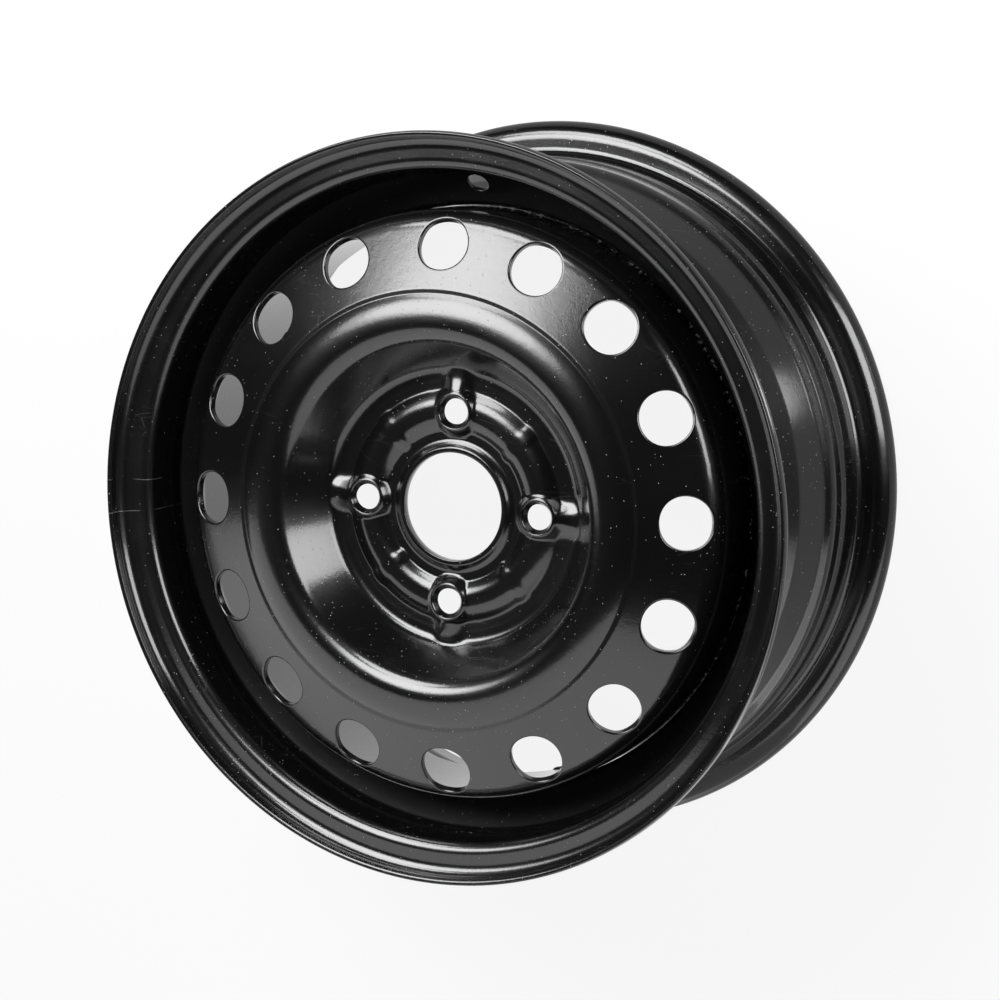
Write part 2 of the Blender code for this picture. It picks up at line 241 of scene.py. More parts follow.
@dataclass
class TurnedSheet:
    """A sheet turned about Z, with relief pressed into it and holes cut through it."""

    section: SheetSection
    columns: int
    phase: float = 0.0
    holes: list[SheetHole] = field(default_factory=list)
    edge: float = 0.0004
    edge_rounding: tuple[tuple[float, float], ...] = ((0.29, 0.71), (1.0, 1.0))
    hole_support: float = 0.00035
    support_share: float = 0.3
    ring_bias: float = 1.25
    points: list[tuple[float, float, float]] = field(default_factory=list, init=False)
    faces: list[tuple[int, ...]] = field(default_factory=list, init=False)

    def relief(self, radius: np.ndarray, angle: np.ndarray, side: Side) -> np.ndarray:
        """Height added by pressing; a plain turned sheet has none."""
        return np.zeros_like(radius + angle)

    def twist(self, radius: np.ndarray) -> np.ndarray:
        """Turn of the grid's columns at a radius; a plain turned sheet has none."""
        return np.zeros_like(radius)

    def place(self, reach: np.ndarray, angle: np.ndarray, side: Side) -> np.ndarray:
        """Points in space on one side of the sheet.

        Args:
            reach: Distances along the face.
            angle: Angles about Z.
            side: The side of the sheet.

        Returns:
            The points, with their coordinates along the last axis.
        """
        radius, height = self.section.point(reach, side)
        height = height + self.relief(radius, angle, side)
        return np.stack([radius * np.cos(angle), radius * np.sin(angle), height + 0 * angle], axis=-1)

    def column_angle(self, row: int, column: int) -> float:
        """Angle of a column at a row of the face.

        Args:
            row: Number of the row.
            column: Number of the column.

        Returns:
            The angle about Z.
        """
        radius = self.section.face[row, 0]
        turn = float(self.twist(np.array([radius]))[0])
        return self.phase + turn + 2 * math.pi * column / self.columns

    def grid(self, side: Side) -> np.ndarray:
        """All the points of one side, by row and column.

        Args:
            side: The side of the sheet.

        Returns:
            Points by row, column and coordinate.
        """
        rows = len(self.section.reach)
        turn = self.twist(self.section.face[:, 0])[:, None]
        angle = self.phase + turn + 2 * math.pi * np.arange(self.columns)[None, :] / self.columns
        reach = np.repeat(self.section.reach[:, None], self.columns, axis=1)
        return self.place(reach, angle, side).reshape(rows, self.columns, 3)

    def build(self, name: str, material: Material) -> Object:
        """Make the sheet's mesh.

        Args:
            name: Name of the piece.
            material: The finish of the whole sheet.

        Returns:
            The new object, at the origin.
        """
        rows = len(self.section.reach)
        taken = np.zeros((rows - 1, self.columns), dtype=bool)
        hidden = np.zeros((rows, self.columns), dtype=bool)
        for hole in self.holes:
            columns = [c % self.columns for c in range(*hole.columns)]
            taken[hole.rows[0]:hole.rows[1], columns] = True
            hidden[hole.rows[0] + 1:hole.rows[1], columns[1:]] = True
        index = {side: self._add_grid(side, hidden) for side in Side}
        for side in Side:
            self._add_cells(index[side], taken)
        self._add_ends(index)
        for hole in self.holes:
            self._add_hole(hole, index)
        mesh = bpy.data.meshes.new(name)
        mesh.from_pydata(self.points, [], self.faces)
        return finished_object(name, mesh, material)

    def _add(self, points: np.ndarray) -> list[int]:
        """Store points and return their numbers.

        Args:
            points: The points to store.

        Returns:
            Their numbers in the mesh.
        """
        first = len(self.points)
        self.points.extend(map(tuple, points.tolist()))
        return list(range(first, len(self.points)))

    def _add_grid(self, side: Side, hidden: np.ndarray) -> np.ndarray:
        """Store the points of one side that no hole's patch hides.

        Args:
            side: The side of the sheet.
            hidden: Which points a hole's patch hides.

        Returns:
            The points' numbers by row and column, with -1 for a hidden one.
        """
        points = self.grid(side)
        index = np.full(hidden.shape, -1, dtype=int)
        shown = ~hidden
        index[shown] = self._add(points[shown])
        return index

    def _add_cells(self, index: np.ndarray, taken: np.ndarray) -> None:
        """Add the faces of one side outside the holes' patches.

        Args:
            index: Numbers of the side's points by row and column.
            taken: Which cells a hole's patch takes.
        """
        for i, j in zip(*np.nonzero(~taken)):
            k = (j + 1) % self.columns
            corners = (index[i, j], index[i, k], index[i + 1, k], index[i + 1, j])
            self.faces.append(tuple(int(corner) for corner in corners))

    def _bridge(self, first: list[int], second: list[int]) -> None:
        """Join two closed loops of points with faces.

        Args:
            first: Numbers of one loop's points.
            second: Numbers of the other loop's points.
        """
        count = len(first)
        for m in range(count):
            n = (m + 1) % count
            self.faces.append((first[m], first[n], second[n], second[m]))

    def _add_ends(self, index: dict[Side, np.ndarray]) -> None:
        """Close both ends of the section with rounded cut edges.

        Args:
            index: Numbers of each side's points by row and column.
        """
        face, back = self.grid(Side.FACE), self.grid(Side.BACK)
        for row, ahead in ((0, -1), (-1, 1)):
            along = face[row] - face[row - ahead if row == -1 else 1]
            along /= np.linalg.norm(along, axis=1)[:, None]
            through = back[row] - face[row]
            through /= np.linalg.norm(through, axis=1)[:, None]
            loops = [index[Side.FACE][row].tolist()]
            for deep, out in self.edge_rounding:
                loops.append(self._add(face[row] + self.edge * (deep * through + out * along)))
            for deep, out in self.edge_rounding[::-1]:
                loops.append(self._add(back[row] + self.edge * (-deep * through + out * along)))
            loops.append(index[Side.BACK][row].tolist())
            for first, second in zip(loops, loops[1:]):
                self._bridge(first, second)

    def _add_hole(self, hole: SheetHole, index: dict[Side, np.ndarray]) -> None:
        """Fill a hole's patch with rings of faces on both sides and line the hole's wall.

        Args:
            hole: The hole to cut.
            index: Numbers of each side's points by row and column.
        """
        (i0, i1), (j0, j1) = hole.rows, hole.columns
        loop = [(i0, j) for j in range(j0, j1)] + [(i, j1) for i in range(i0, i1)]
        loop += [(i1, j) for j in range(j1, j0, -1)] + [(i, j0) for i in range(i1, i0, -1)]
        reach = np.array([self.section.reach[i] for i, _ in loop])
        radius = np.array([self.section.face[i, 0] for i, _ in loop])
        angle = np.array([self.column_angle(i, j) for i, j in loop])
        bound = np.stack([radius * (angle - hole.angle), reach - hole.reach], axis=1)
        aim = bound / np.linalg.norm(bound, axis=1)[:, None]
        ends = {}
        for side in Side:
            start = hole.wall[0][0] if side is Side.FACE else hole.wall[-1][0]
            inner = aim * start
            gap = np.linalg.norm(bound - inner, axis=1)[:, None]
            close = inner + aim * np.minimum(self.hole_support, self.support_share * gap)
            loops = [self._add(self._local(hole, inner, side)), self._add(self._local(hole, close, side))]
            for k in range(1, hole.rings):
                share = (k / hole.rings) ** self.ring_bias
                loops.append(self._add(self._local(hole, close + (bound - close) * share, side)))
            loops.append([int(index[side][i, j % self.columns]) for i, j in loop])
            for first, second in zip(loops, loops[1:]):
                self._bridge(first, second)
            ends[side] = loops[0]
        loops = [ends[Side.FACE]]
        for distance, depth in hole.wall[1:-1]:
            face = self._local(hole, aim * distance, Side.FACE)
            back = self._local(hole, aim * distance, Side.BACK)
            loops.append(self._add(face + (back - face) * depth))
        loops.append(ends[Side.BACK])
        for first, second in zip(loops, loops[1:]):
            self._bridge(first, second)

    def _local(self, hole: SheetHole, spots: np.ndarray, side: Side) -> np.ndarray:
        """Points in space for places measured along the sheet from a hole's centre.

        Args:
            hole: The hole.
            spots: Places as (around, along) from its centre.
            side: The side of the sheet.

        Returns:
            The points, with their coordinates along the last axis.
        """
        reach = hole.reach + spots[:, 1]
        radius, _ = self.section.point(reach, Side.FACE)
        return self.place(reach, hole.angle + spots[:, 0] / radius, side)


def finished_object(name: str, mesh: bpy.types.Mesh, material: Material) -> Object:
    """Turn a closed mesh into a smooth piece with outward faces.

    Args:
        name: Name of the piece.
        mesh: Its mesh.
        material: Its finish.

    Returns:
        The new object, linked to the scene.
    """
    shape = bmesh.new()
    shape.from_mesh(mesh)
    bmesh.ops.recalc_face_normals(shape, faces=shape.faces)
    if shape.calc_volume(signed=True) < 0.0:
        bmesh.ops.reverse_faces(shape, faces=shape.faces)
    shape.to_mesh(mesh)
    shape.free()
    mesh.materials.clear()
    mesh.materials.append(material)
    mesh.shade_smooth()
    piece = bpy.data.objects.new(name, mesh)
    bpy.context.scene.collection.objects.link(piece)
    return piece


# Finishes


class Wiring:
    """A node tree that is wired up node by node."""

    def __init__(self, tree: Tree) -> None:
        """Take the tree."""
        self.tree = tree

    def feed(self, socket: Socket, value: object) -> None:
        """Link a socket to another one, or set its own value.

        Args:
            socket: The input.
            value: Another socket, or a plain value.
        """
        if isinstance(value, Socket):
            self.tree.links.new(value, socket)
        else:
            socket.default_value = value

    def node(self, kind: str, inputs: dict | None = None, **settings: object) -> Node:
        """Add a node.

        Args:
            kind: The node's type.
            inputs: Values or sockets for its inputs, by name or number.
            settings: The node's own settings, made before its inputs.

        Returns:
            The new node.
        """
        node = self.tree.nodes.new(kind)
        for title, value in settings.items():
            setattr(node, title, value)
        for title, value in (inputs or {}).items():
            self.feed(node.inputs[title], value)
        return node

    def math(self, operation: str, *values: object) -> Socket:
        """Add a Math node and return its result."""
        return self.node("ShaderNodeMath", dict(enumerate(values)), operation=operation).outputs[0]

    def times(self, first: object, *others: object) -> Socket:
        """Product of values.

        Args:
            first: A value or socket.
            others: More values or sockets.

        Returns:
            The product.
        """
        for value in others:
            first = self.math("MULTIPLY", first, value)
        return first

    def scaled(self, value: object, factor: object, base: object) -> Socket:
        """A value times a factor, plus a base."""
        return self.math("MULTIPLY_ADD", value, factor, base)

    def ramp(self, value: Socket, limits: tuple, reverse: bool = False) -> Socket:
        """A smooth 0 to 1 mask over a range of a value.

        Args:
            value: The value to measure.
            limits: Where the mask starts to change and where it is complete.
            reverse: Whether the mask falls from 1 to 0.

        Returns:
            The mask.
        """
        low, high = limits
        start, end = (1.0, 0.0) if reverse else (0.0, 1.0)
        inputs = {"Value": value, "From Min": low, "From Max": high, "To Min": start, "To Max": end}
        return self.node("ShaderNodeMapRange", inputs, interpolation_type="SMOOTHSTEP").outputs["Result"]

    def noise(self, place: Socket, scale: object, detail: float) -> Socket:
        """Noise at a place, as a value about one half."""
        inputs = {"Vector": place, "Scale": scale, "Detail": detail}
        return self.node("ShaderNodeTexNoise", inputs).outputs["Fac"]


class EffectGroup(Wiring):
    """A shader node group with named inputs and outputs."""

    def __init__(self, name: str, inputs: dict[str, float], outputs: list[str]) -> None:
        """Make the group's sockets.

        Args:
            name: The group's name.
            inputs: Named number inputs with their usual values.
            outputs: Named mask or height outputs.
        """
        super().__init__(bpy.data.node_groups.new(name, "ShaderNodeTree"))
        sockets = self.tree.interface
        sockets.new_socket("Place", in_out="INPUT", socket_type="NodeSocketVector")
        for title, value in inputs.items():
            sockets.new_socket(title, in_out="INPUT", socket_type="NodeSocketFloat").default_value = value
        for title in outputs:
            sockets.new_socket(title, in_out="OUTPUT", socket_type="NodeSocketFloat")
        self.given = self.node("NodeGroupInput").outputs
        self.place = self.given["Place"]
        self.end = self.node("NodeGroupOutput").inputs

    def give(self, title: str, value: Socket) -> None:
        """Send a value to one of the group's outputs."""
        self.feed(self.end[title], value)


def texture_group() -> Tree:
    """Orange peel of sprayed paint over rolled sheet, as a height, and patches of uneven gloss.

    Returns:
        The group's tree.
    """
    group = EffectGroup("PaintTexture", {"Peel Scale": 260.0, "Grain Scale": 1100.0, "Grain Share": 0.8,
                                         "Patch Scale": 14.0}, ["Height", "Patches"])
    given = group.given
    peel = group.noise(group.place, given["Peel Scale"], 1.5)
    grain = group.noise(group.place, given["Grain Scale"], 2.0)
    group.give("Height", group.math("ADD", peel, group.times(grain, given["Grain Share"])))
    patches = group.noise(group.place, given["Patch Scale"], 3.0)
    group.give("Patches", group.ramp(patches, (0.38, 0.68)))
    return group.tree


def dust_group() -> Tree:
    """Fine dust specks that cling to the paint, thicker in some patches.

    Returns:
        The group's tree.
    """
    group = EffectGroup("DustSpecks", {"Scale": 700.0, "Size": 0.22, "Share": 0.10, "Cloud Scale": 22.0,
                                       "Least Share": 0.25, "Least Brightness": 0.4}, ["Mask"])
    given = group.given
    cells = group.node("ShaderNodeTexVoronoi", {"Vector": group.place, "Scale": given["Scale"]}).outputs
    spot = group.ramp(cells["Distance"], (0.0, given["Size"]), reverse=True)
    chance = group.node("ShaderNodeSeparateColor", {"Color": cells["Color"]}).outputs
    cloud = group.ramp(group.noise(group.place, given["Cloud Scale"], 3.0), (0.35, 0.75))
    limit = group.times(given["Share"], group.math("ADD", cloud, given["Least Share"]))
    chosen = group.math("LESS_THAN", chance["Red"], limit)
    bright = group.math("ADD", chance["Green"], given["Least Brightness"])
    group.give("Mask", group.math("MINIMUM", group.times(spot, bright, chosen), 1.0))
    return group.tree


def scratch_group() -> Tree:
    """Short hairline scratches and rubs left by handling.

    Returns:
        The group's tree.
    """
    group = EffectGroup("HairScratches", {"Scale": 26.0, "Width": 0.012, "Share": 0.30, "Bend Scale": 9.0,
                                          "Break Scale": 60.0}, ["Mask"])
    given = group.given
    bend = group.node("ShaderNodeTexNoise", {"Vector": group.place, "Scale": given["Bend Scale"]})
    stretch = group.node("ShaderNodeMapping", {"Vector": group.place, "Rotation": (0.3, 0.5, 0.7),
                                               "Scale": (1.0, 5.0, 1.0)})
    bent = group.node("ShaderNodeVectorMath", {0: bend.outputs["Color"], 1: (0.02, 0.02, 0.02),
                                               2: stretch.outputs["Vector"]}, operation="MULTIPLY_ADD")
    cells = group.node("ShaderNodeTexVoronoi", {"Vector": bent.outputs["Vector"], "Scale": given["Scale"]},
                       feature="DISTANCE_TO_EDGE")
    line = group.ramp(cells.outputs["Distance"], (0.0, given["Width"]), reverse=True)
    broken = group.ramp(group.noise(group.place, given["Break Scale"], 3.0), (0.56, 0.66))
    group.give("Mask", group.times(line, broken, given["Share"]))
    return group.tree


def polar_group() -> Tree:
    """Polar measures of a place on the wheel: its radius, its angle in degrees and its height.

    Returns:
        The group's tree.
    """
    group = EffectGroup("WheelPolar", {}, ["Radius", "Angle", "Height"])
    parts = group.node("ShaderNodeSeparateXYZ", {"Vector": group.place}).outputs
    squares = [group.times(parts[axis], parts[axis]) for axis in ("X", "Y")]
    group.give("Radius", group.math("SQRT", group.math("ADD", *squares)))
    angle = group.math("ARCTAN2", parts["Y"], parts["X"])
    group.give("Angle", group.times(angle, math.degrees(1.0)))
    group.give("Height", parts["Z"])
    return group.tree


def chip_group() -> Tree:
    """Chips in a narrow ring on the wheel, at a height and between two radii.

    Returns:
        The group's tree.
    """
    group = EffectGroup("RingChips", {"Radius": 0.155, "Height": 0.0, "Ring Height": 0.0246, "Core": 0.0006,
                                      "Reach": 0.0022, "Grain Scale": 420.0}, ["Mask"])
    given = group.given
    away = group.math("ABSOLUTE", group.math("SUBTRACT", given["Height"], given["Ring Height"]))
    near = group.ramp(away, (given["Core"], given["Reach"]), reverse=True)
    inside = group.ramp(given["Radius"], (0.1512, 0.1520))
    outside = group.ramp(given["Radius"], (0.1590, 0.1600), reverse=True)
    broken = group.ramp(group.noise(group.place, given["Grain Scale"], 2.0), (0.60, 0.66))
    group.give("Mask", group.times(inside, outside, near, broken))
    return group.tree


class PaintTree(Wiring):
    """A paint's shader, with the shared effects at hand."""

    def __init__(self, material: Material, effects: dict[str, Tree]) -> None:
        """Take the material and the effect groups by name.

        Args:
            material: The material to build.
            effects: The shared effect groups by name.
        """
        material.use_nodes = True
        super().__init__(material.node_tree)
        self.effects = effects
        self.place = self.node("ShaderNodeTexCoord").outputs["Object"]

    def effect(self, name: str, values: dict[str, object] | None = None) -> bpy.types.NodeOutputs:
        """Place an effect group with its own values and return its outputs."""
        inputs = {"Place": self.place, **(values or {})}
        return self.node("ShaderNodeGroup", inputs, node_tree=self.effects[name]).outputs


@dataclass(frozen=True)
class ChipRing:
    """Pale chips along the ring where the disc's skirt meets the rim."""

    height: float = 0.0246
    grain: float = 420.0

    def mask(self, paint: PaintTree) -> Socket:
        """Where the paint has chipped.

        Args:
            paint: The paint that is being built.

        Returns:
            The mask.
        """
        polar = paint.effect("polar")
        values = {"Radius": polar["Radius"], "Height": polar["Height"], "Ring Height": self.height,
                  "Grain Scale": self.grain}
        return paint.effect("chips", values)["Mask"]


@dataclass(frozen=True)
class SeamLines:
    """Two thin lines left where the rim's butt weld was planed, placed in degrees."""

    angle: float = -176.45
    half_gap: float = 2.7
    edge: tuple[float, float] = (0.01, 0.09)
    waver: float = 0.2
    grain: float = 55.0
    gaps: tuple[float, float] = (0.42, 0.55)
    paleness: float = 0.22

    def mask(self, paint: PaintTree) -> Socket:
        """How pale the lines are.

        Args:
            paint: The paint that is being built.

        Returns:
            The mask.
        """
        polar = paint.effect("polar")
        away = paint.math("ABSOLUTE", paint.math("SUBTRACT", polar["Angle"], self.angle))
        offset = paint.math("ABSOLUTE", paint.math("SUBTRACT", away, self.half_gap))
        noise = paint.noise(paint.place, self.grain, 4.0)
        waver = paint.scaled(noise, self.waver, -0.5 * self.waver)
        line = paint.ramp(paint.math("ADD", offset, waver), self.edge, reverse=True)
        return paint.times(line, paint.ramp(noise, self.gaps), self.paleness)


@dataclass(frozen=True)
class DullWell:
    """The drop well's outboard wall, where the paint is thin and grainy."""

    outer_edge: tuple[float, float] = (0.1715, 0.1738)
    lower_edge: tuple[float, float] = (0.0, 0.02)
    roughness: float = 0.10
    coat_roughness: float = 0.05

    def mask(self, paint: PaintTree) -> Socket:
        """Where the paint is dull.

        Args:
            paint: The paint that is being built.

        Returns:
            The mask.
        """
        polar = paint.effect("polar")
        inside = paint.ramp(polar["Radius"], self.outer_edge, reverse=True)
        return paint.times(inside, paint.ramp(polar["Height"], self.lower_edge))


@dataclass(frozen=True)
class PaintFinish:
    """Gloss black paint on sheet steel, with its dust, scratches and other marks."""

    name: str
    colour: tuple[float, float, float] = (0.0028, 0.0028, 0.003)
    roughness: float = 0.22
    rough_patch: float = 0.06
    coat: float = 1.0
    coat_roughness: float = 0.11
    refraction: float = 1.5
    peel: float = 0.00003
    dust: float = 0.16
    scratches: float = 0.11
    scratch_paleness: float = 0.35
    mark_colour: tuple[float, float, float] = (0.55, 0.54, 0.52)
    mark_roughness: float = 0.4
    mark_coat_loss: float = 0.9
    mark_rise: float = 0.00012
    marks: tuple[ChipRing | SeamLines, ...] = ()
    dull: DullWell | None = None

    def material(self, effects: dict[str, Tree]) -> Material:
        """Build the paint's shader.

        Args:
            effects: The shared effect groups by name.

        Returns:
            The new material.
        """
        material = bpy.data.materials.new(self.name)
        paint = PaintTree(material, effects)
        shader = material.node_tree.nodes["Principled BSDF"].inputs
        for title, value in (("Metallic", 0.0), ("IOR", self.refraction), ("Coat Weight", self.coat),
                             ("Coat Roughness", self.coat_roughness), ("Coat IOR", self.refraction)):
            shader[title].default_value = value
        texture = paint.effect("texture")
        marks = self._marks(paint)
        colours = {"A": (*self.colour, 1.0), "B": (*self.mark_colour, 1.0), "Factor": marks}
        mix = paint.node("ShaderNodeMix", colours, data_type="RGBA")
        paint.feed(shader["Base Color"], mix.outputs["Result"])
        rough = paint.scaled(texture["Patches"], self.rough_patch, self.roughness)
        if self.dull is not None:
            dull = self.dull.mask(paint)
            rough = paint.scaled(dull, self.dull.roughness, rough)
            coat_rough = paint.scaled(dull, self.dull.coat_roughness, self.coat_roughness)
            paint.feed(shader["Coat Roughness"], coat_rough)
        paint.feed(shader["Roughness"], paint.scaled(marks, self.mark_roughness, rough))
        paint.feed(shader["Coat Weight"], paint.scaled(marks, -self.mark_coat_loss * self.coat, self.coat))
        peel = paint.node("ShaderNodeBump", {"Distance": self.peel, "Height": texture["Height"]})
        raised = paint.node("ShaderNodeBump", {"Distance": self.mark_rise, "Height": marks,
                                               "Normal": peel.outputs["Normal"]})
        for title in ("Normal", "Coat Normal"):
            paint.feed(shader[title], raised.outputs["Normal"])
        return material

    def _marks(self, paint: PaintTree) -> Socket:
        """The palest of the dust, the scratches and the finish's own marks.

        Args:
            paint: The paint that is being built.

        Returns:
            The mask of all the marks.
        """
        dust = paint.effect("dust", {"Share": self.dust})["Mask"]
        scratch = paint.effect("scratch", {"Share": self.scratches})["Mask"]
        palest = paint.math("MAXIMUM", dust, paint.times(scratch, self.scratch_paleness))
        for mark in self.marks:
            palest = paint.math("MAXIMUM", palest, mark.mask(paint))
        return palest


# The wheel


def hole_wall(radius: float, steps: tuple[tuple[float, float], ...]) -> tuple[tuple[float, float], ...]:
    """Wall of a hole as (distance, depth), from steps given as (distance beyond the radius, depth)."""
    return tuple((radius + beyond, depth) for beyond, depth in steps)


@dataclass
class WheelRim:
    """The rolled rim: two flanges, two bead seats with humps, and a drop well."""

    seat_radius: float = 0.1774
    half_width: float = 0.06985
    sheet: float = 0.0024
    flange_height: float = 0.0175
    curl_radius: float = 0.0095
    curl_lip: float = math.radians(20.0)
    curl_steps: int = 15
    heel_radius: float = 0.0040
    seat_width: float = 0.0145
    seat_angle: float = math.radians(5)
    seat_fillet: float = 0.005
    hump_width: float = 0.003
    hump_height: float = 0.0011
    hump_foot: float = 0.0035
    hump_fillet: float = 0.0032
    ledge_drop: float = 0.0016
    ledge_fillet: float = 0.006
    outer_ledge: float = 0.0268
    well_depth: float = 0.0205
    well_fillet: float = 0.006
    wall_angle: float = math.radians(46.5)
    floor_end: float = -0.001
    inner_wall_angle: float = math.radians(30.5)
    slope_rise: float = 0.0086
    slope_angle: float = math.radians(20)
    step_rise: float = 0.0149
    step_angle: float = math.radians(35)
    slope_fillet: float = 0.008
    valve_radius: float = 0.0059
    valve_rise: float = 0.0116
    valve_angle: float = math.radians(90.25)
    valve_patch_height: tuple[float, float] = (0.02, 0.0442)
    valve_patch_radius: tuple[float, float] = (0.1589, 0.1738)
    valve_patch_half: int = 3
    valve_steps: tuple[tuple[float, float], ...] = (
        (0.0004, 0.0), (0.00012, 0.05), (0.0, 0.17), (0.0, 0.24), (0.0, 0.76), (0.0, 0.83),
        (0.00012, 0.95), (0.0004, 1.0))
    columns: int = 256
    phase: float = math.radians(0.25)

    def flange(self, side: int) -> list[tuple]:
        """Corners of one flange, bead seat and hump, from the lip inwards.

        Args:
            side: 1 for the outboard flange and -1 for the inboard one.

        Returns:
            Corners as (radius, height) or (radius, height, fillet).
        """
        curl_radius = self.seat_radius + self.flange_height - self.curl_radius
        centre = (curl_radius, self.half_width + self.curl_radius)
        curl = arc_points(centre, self.curl_radius, self.curl_lip, -math.pi / 2, self.curl_steps)
        foot = self.seat_radius - self.seat_width * math.tan(self.seat_angle)
        hump = self.half_width - self.seat_width - self.hump_width
        corners = [*curl[:-1], (curl_radius, self.half_width),
                   (self.seat_radius, self.half_width, self.heel_radius),
                   (foot, self.half_width - self.seat_width, self.seat_fillet),
                   (foot + self.hump_height, hump, self.hump_fillet),
                   (self.seat_radius - self.ledge_drop, hump - self.hump_foot, self.ledge_fillet)]
        return [(corner[0], side * corner[1], *corner[2:]) for corner in corners]

    def section(self) -> SheetSection:
        """The rim's section, tyre side first.

        Returns:
            The section, from the outboard lip to the inboard one.
        """
        ledge = self.seat_radius - self.ledge_drop
        well = self.seat_radius - self.well_depth
        top = self.half_width - self.outer_ledge
        foot = top - (ledge - well) / math.tan(self.wall_angle)
        slope, step = well + self.slope_rise, well + self.step_rise
        slope_end = self.floor_end - (slope - well) / math.tan(self.inner_wall_angle)
        step_end = slope_end - (step - slope) / math.tan(self.slope_angle)
        ledge_start = step_end - (ledge - step) / math.tan(self.step_angle)
        outer = [(ledge, top), (well, foot), (well, self.floor_end)]
        inner = [(slope, slope_end), (step, step_end), (ledge, ledge_start)]
        corners = [*self.flange(1), *[(*corner, self.well_fillet) for corner in outer],
                   *[(*corner, self.slope_fillet) for corner in inner], *self.flange(-1)[::-1]]
        return SheetSection(rounded_path(corners, ARC_STEP), self.sheet)

    def valve_hole(self, section: SheetSection) -> SheetHole:
        """The valve hole in the drop well's outboard wall.

        Args:
            section: The rim's section.

        Returns:
            The hole.
        """
        radii, heights = section.face.T
        low, high = self.valve_patch_height
        near, far = self.valve_patch_radius
        wall = np.nonzero((heights > low) & (heights < high) & (radii > near) & (radii < far))[0]
        distance = self.seat_radius - self.well_depth + self.valve_rise
        reach = float(np.interp(-distance, -radii[wall], section.reach[wall]))
        column = round((self.valve_angle - self.phase) / (2 * math.pi) * self.columns)
        columns = (column - self.valve_patch_half, column + self.valve_patch_half)
        profile = hole_wall(self.valve_radius, self.valve_steps)
        return SheetHole(reach, self.valve_angle, (int(wall[0]), int(wall[-1])), columns, profile, rings=4)

    def build(self, paint: Material) -> Object:
        """Make the rim and stand it in for its solid.

        Args:
            paint: The rim's paint.

        Returns:
            The piece.
        """
        section = self.section()
        sheet = TurnedSheet(section, self.columns, self.phase, [self.valve_hole(section)])
        piece = sheet.build("rim_shell", paint)
        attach(piece, "root")
        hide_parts("rim")
        return piece


